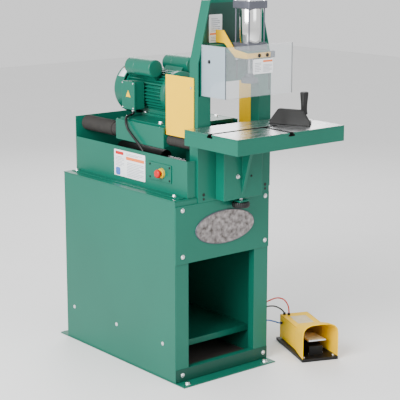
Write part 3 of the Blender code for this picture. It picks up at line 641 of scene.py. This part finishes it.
def build_mitre_gauge():
    """The sliding bar, the fence with its half-round base, the marks on it and the locking handle."""
    refined("miter_bar", STEEL, 0.0006)
    turn = Matrix.Rotation(GAUGE_YAW, 3, "Z")
    pivot = Vector((*GAUGE_PIVOT_XY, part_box("miter_head")[0][2]))
    along, out = turn @ Vector((0, -1, 0)), turn @ Vector((1, 0, 0))
    work = bmesh.new()
    reach, height = 0.0775, 0.057
    fence = [
        (-reach, 0), (reach, 0), (reach, 0.014), (reach - 0.030, height - 0.003), (reach - 0.036, height),
        (0.036 - reach, height), (0.030 - reach, height - 0.003), (-reach, 0.014),
    ]
    face_at = pivot + out * (-0.029 + 0.0118) + along * 0.009
    add_prism(work, fence, face_at, along, UP, 0.0118)
    base = [(-0.024, -0.074), (-0.024, 0.074)]
    base += [(0.004 + 0.0745 * sin(pi * i / 24), 0.0745 * cos(pi * i / 24)) for i in range(25)]
    across = turn @ Vector((1, 0, 0))
    upward = turn @ Vector((0, 1, 0))
    add_prism(work, base, pivot, across, upward, 0.0095)
    for share in (-0.55, 0.0, 0.55):
        web = [(-0.0185, 0.009), (0.024, 0.009), (-0.0185, 0.044)]
        add_prism(work, web, pivot + along * (0.009 + share * 0.09 + 0.003), across, UP, 0.006)
    add_turned(
        work, [(0, 0.017), (0.012, 0.017), (0.013, 0.016), (0.013, 0.008), (0, 0.008)], pivot, UP, 28
    )
    head = finish_mesh("gauge_casting", work, BLACK, "miter_head")
    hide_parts("miter_head")
    soften(head, 0.0012, 2)
    marks = bmesh.new()
    for i in range(-9, 10):
        angle = radians(i * 8)
        ray = across * cos(angle) + upward * sin(angle)
        side = across * -sin(angle) + upward * cos(angle)
        long = 0.009 if i % 3 == 0 else 0.005
        middle = pivot + across * 0.004 + ray * 0.0730 + Vector((0, 0, 0.0095))
        outline = [(0, -0.0004), (0, 0.0004), (-long, 0.0004), (-long, -0.0004)]
        add_prism(marks, outline, middle, ray, side, 0.0002)
    finish_mesh("gauge_graduations", marks, LABEL, "miter_head")
    x, y = GAUGE_HANDLE_XY
    base_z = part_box("miter_handle")[0][2]
    work = bmesh.new()
    ribs = 10
    rings = []
    levels = (
        (0.012, 0.024), (0.0136, 0.027), (0.0120, 0.034), (0.0112, 0.042), (0.0118, 0.060), (0.0142, 0.085),
        (0.0153, 0.1000), (0.0145, 0.1045), (0.0110, 0.1062)
    )
    for radius, height in levels:
        ring = []
        for i in range(ribs * 6):
            angle = 2 * pi * i / (ribs * 6)
            groove = 0.09 * max(0.0, -cos(ribs * angle)) if 0.030 < height < 0.104 else 0.0
            spread = radius * (1 - groove)
            spot = (x + spread * cos(angle), y + spread * sin(angle), base_z + height)
            ring.append(work.verts.new(spot))
        rings.append(ring)
    add_loft(work, rings)
    add_turned(work, [(0, 0.026), (0.0058, 0.026), (0.0058, 0.0), (0, 0.0)], (x, y, base_z), UP, 20, 1)
    handle = finish_mesh("gauge_lock_handle", work, [PLASTIC, STEEL], "miter_handle", 50)
    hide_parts("miter_handle")


# ---------------------------------------------------------------- clamp and guards

def build_clamp():
    """The clamp cylinder with its tie rods and ports, the swivel foot and the guard's stop rod."""
    refined("clamp_bracket", GREEN, 0.0)
    refined("cylinder_lower_cap", CAP_GREY, 0.0020, 3)
    low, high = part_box("cylinder_upper_cap")
    work = bmesh.new()
    add_box(work, low, (high[0], high[1], high[2] - 0.0045))
    cap = soften(finish_mesh("cylinder_head_cap", work, CAP_GREY, "root"), 0.003, 3)
    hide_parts("cylinder_upper_cap")
    middle, bottom = centre("cylinder_barrel"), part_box("cylinder_barrel")[0][2]
    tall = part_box("cylinder_barrel")[1][2] - bottom
    work = bmesh.new()
    wall = [(0, tall), (0.0398, tall), (0.0400, tall - 0.0004), (0.0400, 0.0004), (0.0398, 0.0), (0, 0.0)]
    add_turned(work, wall, (middle.x, middle.y, bottom), UP, 72)
    barrel = finish_mesh("polished_tube", work, BRIGHT, "root")
    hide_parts("cylinder_barrel")
    rods = bmesh.new()
    for sx in (-1, 1):
        for sy in (-1, 1):
            x, y = middle.x + sx * 0.0355, middle.y + sy * 0.0355
            add_turned(
                rods, [(0, tall + 0.004), (0.0028, tall + 0.004), (0.0028, -0.004), (0, -0.004)],
                (x, y, bottom), UP, 16, 1
            )
            for z, way in ((high[2] - 0.0045, UP), (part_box("cylinder_lower_cap")[0][2], DOWN)):
                top = 0.0042 if way == UP else 0.006
                add_turned(
                    rods, [(0, top), (0.0062, top), (0.0066, top - 0.0006), (0.0066, 0), (0, 0)], (x, y, z),
                    way, 6
                )
    finish_mesh("tie_rods", rods, [ZINC, CAP_GREY], "root")
    ports = bmesh.new()
    for z in (1.232, 1.377):
        port = [(0, 0.016), (0.005, 0.016), (0.0055, 0.009), (0.0075, 0.009), (0.0075, 0), (0, 0)]
        add_turned(ports, port, (high[0], middle.y, z), RIGHTWARD, 20)
    finish_mesh("cylinder_ports", ports, [ZINC], "root")
    repaint(STEEL, "piston_rod")
    x, y, z = centre("press_foot").x, centre("press_foot").y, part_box("press_foot")[0][2]
    work = bmesh.new()
    pad = [
        (0, 0.0341), (0.0150, 0.0341), (0.0165, 0.0325), (0.0180, 0.0240), (0.0215, 0.0205), (0.0285, 0.0185),
        (0.0305, 0.0165), (0.0305, 0.0050), (0.0295, 0.0045), (0.0295, 0.0030), (0.0305, 0.0025),
        (0.0285, 0.0), (0, 0.0),
    ]
    add_turned(work, pad, (x, y, z), UP, 48)
    foot = finish_mesh("swivel_foot", work, CAP_GREY, "press", 25)
    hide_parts("press_foot")
    stop = bmesh.new()
    add_turned(
        stop, [(0, 0.075), (0.0030, 0.075), (0.0030, 0.0), (0, 0.0)], (-0.003, -0.4360, 1.118), UP, 16, 1
    )
    add_turned(
        stop, [(0, 0.005), (0.0058, 0.005), (0.0062, 0.0), (0, 0.0)], (-0.003, -0.4360, 1.187), UP, 6, 0
    )
    finish_mesh("guard_stop_rod", stop, [ZINC, PLASTIC], "root")


def build_guards():
    """The clear guard with its arm and label, and the yellow side guards."""
    low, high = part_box("guard_window")
    thick = 0.005
    work = bmesh.new()
    add_box(work, low, (high[0], low[1] + thick, high[2]))
    # The side panel takes the paler copy of the clear sheet, a painted reflection.
    add_box(
        work, (low[0], low[1] + thick, low[2]), (low[0] + thick, high[1], high[2]),
        index=1
    )
    for face in work.faces:
        face.normal_update()
        side_panel = face.calc_center_median().y > low[1] + thick
        edge = abs(face.normal.z) > 0.9 or (
            abs(face.normal.y) > 0.9 if side_panel else abs(face.normal.x) > 0.9
        )
        if edge:
            face.material_index = 2
    guard = finish_mesh("clear_guard", work, [CLEAR, CLEAR_SIDE_GLARE, CLEAR_EDGE], "root")
    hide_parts("guard_window")
    refined("guard_arm", YELLOW, 0.0008)
    block = bmesh.new()
    add_box(block, (0.1066, -0.4925, 1.1905), (0.1290, -0.4780, 1.2145))
    soften(finish_mesh("arm_end_block", block, CAP_GREY, "root"), 0.0015)
    rows = [((x, -0.4983, 1.2025), FRONTWARD, 0.0050, 0.0045, "button") for x in (0.048, 0.086)]
    rows.append(((low[0], -0.4067, 1.183), LEFTWARD, 0.0050, 0.0040, "button"))
    bolts("guard_screws", rows, "root", PLASTIC)
    label(
        "guard_label", (0.066, low[1] - 0.0001, 1.164), RIGHTWARD, UP, 0.094, 0.052, "root",
        bar=(-0.001, 0.014, 0.044, 0.021), blocks=[
            (-0.040, -0.018, -0.010, 0.016, 6), (-0.001, -0.020, 0.042, 0.008, 6)
        ],
    )
    for side, way in (("left", LEFTWARD), ("right", RIGHTWARD)):
        refined(f"side_guard_{side}", YELLOW, 0.0012)
        box_low, box_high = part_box(f"side_guard_{side}")
        x = box_low[0] if side == "left" else box_high[0]
        rows = [((x, y, z), way, 0.0035, 0.0020, "button") for y, z in ((-0.330, 1.085), (-0.330, 0.935))]
        bolts(f"side_guard_screws_{side}", rows, "root", STEEL)


def build_controls():
    """The switch plate with its stop button, and the label beside it."""
    refined("switch_plate", GREEN, 0.0008)
    low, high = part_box("switch_plate")
    plate_x = -0.1667
    button_at = (plate_x, -0.2087, 0.7625)
    ring = bmesh.new()
    profile = [
        (0.0085, 0.0068), (0.0170, 0.0068), (0.0192, 0.0050), (0.0192, 0.0), (0.0085, 0.0), (0.0085, 0.0068)
    ]
    add_turned(ring, profile, button_at, LEFTWARD, 40)
    finish_mesh("yellow_collar", ring, YELLOW, "root")
    work = bmesh.new()
    button = [
        (0, 0.0278), (0.0080, 0.0276), (0.0125, 0.0262), (0.0150, 0.0235), (0.0157, 0.0200), (0.0155, 0.0165),
        (0.0140, 0.0150), (0.0072, 0.0140), (0.0070, 0.0060), (0, 0.0060),
    ]
    add_turned(work, button, button_at, LEFTWARD, 48)
    knob = finish_mesh("stop_mushroom", work, RED, "estop", 50)
    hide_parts("estop_button")
    rows = [
        ((plate_x, y, z), LEFTWARD, 0.0030, 0.0018, "button")
        for y in (low[1] + 0.009, high[1] - 0.009) for z in (low[2] + 0.009, high[2] - 0.009)
    ]
    bolts("switch_plate_screws", rows, "root", PLASTIC)
    label(
        "tray_label", (-0.1633, -0.004, 0.7615), FRONTWARD, UP, 0.198, 0.101, "root", radius=0.003,
        bar=(-0.022, 0.018, 0.094, 0.030),
        blocks=[
            (-0.090, -0.012, -0.034, 0.028, 7), (-0.016, -0.044, 0.090, 0.012, 9),
            (-0.022, 0.035, 0.080, 0.045, 2)
        ],
    )
    emblem = bmesh.new()
    add_prism(emblem, rounded(0.052, 0.012, 0.004), (-0.1639, 0.060, 0.800), FRONTWARD, UP, 0.0003, 0)
    add_prism(emblem, rounded(0.030, 0.030, 0.008), (-0.1639, 0.070, 0.729), FRONTWARD, UP, 0.0003, 1)
    finish_mesh("tray_label_blocks", emblem, [RED, BLUE_TUBE], "root")


# ---------------------------------------------------------------- carriage and motor

def build_bellows():
    """Four ribbed sleeves over the guide rods."""
    for place in ("front", "rear"):
        for side in ("left", "right"):
            node = f"bellows_{place}_{side}"
            low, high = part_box(node)
            middle, radius, length = centre(node), (high[0] - low[0]) / 2, high[1] - low[1]
            folds = 14 if place == "front" else 22
            pitch = length / folds
            profile = [(0.0124, 0.0), (radius * 0.86, 0.0)]
            for fold in range(folds):
                for share, reach in ((0.25, 0.965), (0.5, 1.0), (0.75, 0.965), (1.0, 0.87)):
                    profile.append((radius * reach, (fold + share) * pitch))
            profile += [(0.0124, length), (0.0124, 0.0)]
            work = bmesh.new()
            add_turned(work, profile, (middle.x, low[1], middle.z), REARWARD, 40)
            bmesh.ops.remove_doubles(work, verts=work.verts, dist=1e-7)
            piece = finish_mesh(f"concertina_{place}_{side}", work, RUBBER, None, 60)
            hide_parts(node)
            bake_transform(piece)


def build_carriage():
    """The carriage and motor plates, the finish of the drive and spindle, and the rear sleeves' collars."""
    for side in ("left", "right"):
        refined(f"carriage_side_{side}", GREEN, 0.0012)
    refined("motor_plate", GREEN, 0.0012)
    repaint(STEEL, "guide_rod_left", "guide_rod_right", "feed_cylinder_rod", "motor_shaft", "tool_chuck")
    repaint(BLACK, "feed_cylinder")
    repaint(PLASTIC, "cooling_fan")
    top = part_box("motor_plate")[1][2]
    rows = [((x, y, top), UP, 0.0070, 0.0060, "hex") for x in (-0.095, 0.176) for y in (-0.110, 0.098)]
    bolts("motor_plate_bolts", rows, "carriage")
    collars = bmesh.new()
    for node in ("carriage_side_left", "carriage_side_right"):
        x = ROD_LEFT_X if node.endswith("left") else ROD_RIGHT_X
        profile = [
            (0.0240, 0.040), (0.0262, 0.036), (0.0262, 0.024), (0.0240, 0.021), (0.0262, 0.018),
            (0.0262, 0.004),
            (0.0235, 0.0), (0.0232, 0.0), (0.0232, 0.040), (0.0240, 0.040),
        ]
        add_turned(collars, profile, (x, 0.1162, ROD_Z), REARWARD, 36)
    finish_mesh("bellows_clamps", collars, RUBBER, "carriage")


def build_motor():
    """The finned motor on its feet, with its cowl, terminal case and capacitor covers."""
    front = -0.0707
    rear = 0.226
    outer = 0.0878
    root_r = 0.0760
    fins = 40
    work = bmesh.new()
    rings = []
    for y in (front + 0.040, rear - 0.032):
        ring = []
        for i in range(fins * 4):
            angle = 2 * pi * i / (fins * 4)
            reach = outer if i % 4 in (0, 1) else root_r
            ring.append(work.verts.new((MOTOR_X + reach * cos(angle), y, MOTOR_Z + reach * sin(angle))))
        rings.append(ring)
    add_loft(work, rings)
    bell = [
        (0, 0.0430), (0.0850, 0.0430), (0.0880, 0.0410), (0.0880, 0.0240), (0.0845, 0.0200), (0.0700, 0.0120),
        (0.0480, 0.0075), (0.0330, 0.0065), (0.0320, 0.0), (0, 0.0),
    ]
    add_turned(work, bell, (MOTOR_X, front, MOTOR_Z), REARWARD, 64)
    tail = [(0, 0.034), (0.0840, 0.034), (0.0860, 0.030), (0.0880, 0.028), (0.0880, 0.0), (0, 0.0)]
    add_turned(work, tail, (MOTOR_X, rear - 0.034, MOTOR_Z), REARWARD, 64)
    for x in ((-0.018, 0.024), (0.082, 0.124)):
        add_box(work, (x[0], -0.072, 0.9285), (x[1], 0.108, 0.9380))
        inner = (x[0] + 0.012, x[1] - 0.004) if x[0] < 0.05 else (x[0] + 0.004, x[1] - 0.012)
        add_box(work, (inner[0], -0.060, 0.9370), (inner[1], 0.096, 0.9560))
    body = finish_mesh("finned_motor", work, GREEN, "carriage", 35)
    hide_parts("motor_body")
    rows = [((x, y, 0.938), UP, 0.0060, 0.0055, "hex") for x in (-0.010, 0.116) for y in (-0.060, 0.096)]
    for angle in (radians(45 + 90 * k) for k in range(4)):
        spot = (MOTOR_X + 0.074 * cos(angle), front + 0.0125, MOTOR_Z + 0.074 * sin(angle))
        rows.append((spot, FRONTWARD, 0.0042, 0.0050, "hex"))
    bolts("motor_bolts", rows, "carriage")
    build_cowl()
    build_junction_box()
    for side in (-1, 1):
        build_capacitor(side)


def build_cowl():
    """The fan cowl with its ringed vent and a plain sticker."""
    low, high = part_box("fan_cowl")
    depth, radius = high[1] - low[1], (high[0] - low[0]) / 2
    work = bmesh.new()
    shell = [(0.0560, depth - 0.0025), (0.0560, depth - 0.0005), (0.0840, depth - 0.0005)]
    arc = 0.014
    for i in range(7):
        angle = pi / 2 * i / 6
        shell.append((radius - arc + arc * sin(angle), depth - 0.0005 - arc + arc * cos(angle)))
    shell += [(radius, 0.0), (radius - 0.0025, 0.0)]
    shell += [(radius - 0.0025, depth - arc), (0.0860, depth - 0.0025), (0.0560, depth - 0.0025)]
    add_turned(work, shell, (MOTOR_X, low[1], MOTOR_Z), REARWARD, 80)
    for inner, outer in (
        (0.0, 0.010), (0.0165, 0.0205), (0.0265, 0.0305), (0.0365, 0.0405), (0.0465, 0.0505)
    ):
        ring = [(inner, depth - 0.002), (outer, depth - 0.002), (outer, depth), (inner, depth)]
        if inner:
            ring.append(ring[0])
        add_turned(work, ring, (MOTOR_X, low[1], MOTOR_Z), REARWARD, 48)
    for k in range(8):
        turn = Matrix.Translation((MOTOR_X, 0, MOTOR_Z)) @ Matrix.Rotation(pi / 4 * k, 4, "Y")
        add_box(work, (0.008, high[1] - 0.0022, -0.0018), (0.0570, high[1] - 0.0004, 0.0018), turn)
    bmesh.ops.remove_doubles(work, verts=work.verts, dist=1e-6)
    cowl = finish_mesh("vented_cowl", work, GREEN, "carriage", 40)
    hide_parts("fan_cowl")
    sticker = bmesh.new()
    for index, (start, stop) in enumerate(((128, 150), (118, 128))):
        edge = radius + 0.0004
        for k in range(8):
            a, b = (radians(start + (stop - start) * s / 8) for s in (k, k + 1))
            spots = [(a, low[1] + 0.006), (b, low[1] + 0.006), (b, low[1] + 0.044), (a, low[1] + 0.044)]
            face = sticker.faces.new([
                sticker.verts.new((MOTOR_X + edge * cos(t), y, MOTOR_Z + edge * sin(t))) for t, y in spots
            ])
            face.material_index = index
    bmesh.ops.remove_doubles(sticker, verts=sticker.verts, dist=1e-6)
    piece = finish_mesh("cowl_sticker", sticker, [LABEL, RED], "carriage")
    thick = piece.modifiers.new("thickness", "SOLIDIFY")
    thick.thickness = 0.0005
    thick.offset = 0


def build_junction_box():
    """The terminal case with its lid screws, a plain triangle and the cable gland."""
    low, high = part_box("junction_box")
    work = bmesh.new()
    add_box(
        work, (low[0] + 0.008, low[1] + 0.002, low[2] + 0.002), (high[0], high[1] - 0.002, high[2] - 0.002)
    )
    add_box(work, low, (low[0] + 0.0095, high[1], high[2]))
    case = soften(finish_mesh("terminal_case", work, GREEN, "carriage"), 0.0022, 3)
    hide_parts("junction_box")
    rows = [
        ((low[0] - 0.0002, y, z), LEFTWARD, 0.0026, 0.0016, "button")
        for y in (low[1] + 0.007, high[1] - 0.007) for z in (low[2] + 0.007, high[2] - 0.007)
    ]
    bolts("terminal_case_screws", rows, "carriage")
    mark = bmesh.new()
    place = (low[0] - 0.0001, (low[1] + high[1]) / 2 - 0.002, (low[2] + high[2]) / 2 - 0.006)
    add_prism(mark, [(-0.015, 0), (0.015, 0), (0, 0.026)], place, FRONTWARD, UP, 0.0005)
    finish_mesh("terminal_case_mark", mark, YELLOW, "carriage")
    gland = bmesh.new()
    nut = [(0, 0.0), (0.0085, 0.0), (0.0085, 0.006), (0.0070, 0.009), (0.0058, 0.010), (0, 0.010)]
    add_turned(gland, nut, (-0.072, 0.090, low[2] + 0.0005), DOWN, 24)
    finish_mesh("cable_gland", gland, ZINC, "carriage")


def build_capacitor(side):
    """A capacitor cover on its saddle. side is -1 on the left and 1 on the right."""
    name = "left" if side < 0 else "right"
    x = MOTOR_X + side * 0.0913
    y = -0.0086
    height = 1.118
    work = bmesh.new()
    tall = 0.1586
    radius = 0.0338
    arc = 0.006
    profile = [(0, 0.0)]
    profile += [
        (radius - arc + arc * sin(pi / 2 * i / 5), arc - arc * cos(pi / 2 * i / 5)) for i in range(6)
    ]
    profile += [(radius, 0.100), (radius - 0.0008, 0.101), (radius, 0.102)]
    profile += [
        (radius - arc + arc * cos(pi / 2 * i / 5), tall - arc + arc * sin(pi / 2 * i / 5)) for i in range(6)
    ]
    profile.append((0, tall))
    add_turned(work, profile, (x, y, height), REARWARD, 56)
    inward = Vector((MOTOR_X - x, 0, MOTOR_Z - height))
    reach = inward.length - 0.0875
    turn = Matrix.Translation((x, 0, height)) @ Matrix.Rotation(atan2(inward.x, inward.z), 4, "Y")
    add_box(work, (-0.020, 0.013, 0.0), (0.020, 0.122, reach), turn)
    cover = finish_mesh(f"capacitor_can_{name}", work, GREEN, "carriage", 35)
    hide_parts(f"capacitor_cover_{name}")


# ---------------------------------------------------------------- foot valve

def build_foot_valve():
    """The foot valve's hood, base, treadle and trim, and the fittings at both ends of its tubes."""
    turn = Matrix.Translation(VALVE_FRONT) @ Matrix.Rotation(VALVE_YAW, 4, "Z")
    wall = 0.0035
    base = 0.0128

    def section(half, height, arch, y, inset=0.0, steps=8):
        """One cross-section of the hood: straight sides under a flattened arch."""
        points = [(-half + inset, y, base)]
        for i in range(steps + 1):
            angle = pi - pi * i / steps
            across = copysign(abs(cos(angle)) ** 0.62, cos(angle)) * (half - inset)
            points.append((across, y, height - arch + (arch - inset) * abs(sin(angle)) ** 0.8))
        points.append((half - inset, y, base))
        return points

    levels = [
        (0.0745, 0.1495, 0.045, 0.0005), (0.0715, 0.1450, 0.042, 0.030), (0.0660, 0.1330, 0.036, 0.075),
        (0.0600, 0.1180, 0.026, 0.118),
    ]
    work = bmesh.new()
    outer = [[work.verts.new(turn @ Vector(p)) for p in section(h, t, a, y)] for h, t, a, y in levels]
    inner = [
        [work.verts.new(turn @ Vector(p)) for p in section(h, t, a, y, wall)] for h, t, a, y in levels
    ]
    count = len(outer[0])
    for shell in (outer, inner):
        for near, far in zip(shell, shell[1:]):
            for k in range(count - 1):
                work.faces.new((near[k], near[k + 1], far[k + 1], far[k]))
    for k in range(count - 1):
        work.faces.new((outer[0][k], outer[0][k + 1], inner[0][k + 1], inner[0][k]))
        work.faces.new((outer[-1][k], outer[-1][k + 1], inner[-1][k + 1], inner[-1][k]))
    for shell_a, shell_b in zip(zip(outer, outer[1:]), zip(inner, inner[1:])):
        for k in (0, count - 1):
            work.faces.new((shell_a[0][k], shell_a[1][k], shell_b[1][k], shell_b[0][k]))
    rear = 0.2875
    half = 0.0595
    top = 0.1076
    add_box(work, (-half, 0.116, base), (-half + wall, rear, top), turn)
    add_box(work, (half - wall, 0.116, base), (half, rear, top), turn)
    add_box(work, (-half, rear - wall, base), (half, rear, top), turn)
    add_box(work, (-half, 0.112, top - wall), (half, rear, top), turn)
    hood = finish_mesh("pedal_hood", work, YELLOW, "root", 40)
    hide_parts("foot_valve_hood")
    soften(hood, 0.0014, 2, 50)
    refined("foot_valve_base", BLACK, 0.0012)
    pedal = bmesh.new()
    tilt = turn @ Matrix.Translation((0, 0.168, 0.062)) @ Matrix.Rotation(radians(-5), 4, "X")
    add_box(pedal, (-0.0355, -0.1345, -0.0035), (0.0355, -0.0005, 0.0015), tilt)
    for k in range(12):
        y = -0.128 + k * 0.0098
        add_box(pedal, (-0.033, y, 0.0012), (0.033, y + 0.0045, 0.0034), tilt, 1)
    add_box(pedal, (-0.0357, -0.1352, -0.0038), (0.0357, -0.1300, 0.0018), tilt, 2)
    tread = finish_mesh("treadle", pedal, [TAN, TAN, ZINC], "pedal")
    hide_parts("foot_pedal")
    soften(tread, 0.0006, 2)
    extras = bmesh.new()
    add_box(extras, (-0.030, 0.048, 0.0135), (0.030, 0.055, 0.020), turn, 0)
    add_box(extras, (-0.034, 0.150, top), (0.034, 0.245, top + 0.0006), turn, 1)
    for x in (-0.062, 0.062):
        for y in (0.020, 0.262):
            spot = turn @ Vector((x, y, 0.0120))
            add_turned(extras, [(0, 0.004), (0.005, 0.004), (0.006, 0.0), (0, 0.0)], spot, UP, 6, 0)
    finish_mesh("valve_trim", extras, [ZINC, TAN], "root")
    fittings = bmesh.new()
    collar = [
        (0.0034, 0.0), (0.0058, 0.0), (0.0058, 0.006), (0.0050, 0.008), (0.0034, 0.008), (0.0034, 0.0)
    ]
    for place, way in (
        (RED_ROUTE[-1], UP), (BLACK_ROUTE[-1], UP), (BLUE_ROUTE[-1], (-0.927, 0.375, 0)),
    ):
        back = Vector(way).normalized() * 0.0025
        add_turned(fittings, collar, Vector(place) - back, way, 20)
    for place in (RED_ROUTE[0], BLACK_ROUTE[0], BLUE_ROUTE[0]):
        add_turned(fittings, collar, Vector(place) - Vector((0.0012, 0, 0)), RIGHTWARD, 20)
    finish_mesh("push_fittings", fittings, PLASTIC, "root")


build_camera()
build_floor()
build_lights()
build_air_tubes()
build_motor_cable()
build_cabinet()
build_badge()
build_column()
build_table()
build_mitre_gauge()
build_clamp()
build_guards()
build_controls()
build_bellows()
build_carriage()
build_motor()
build_foot_valve()
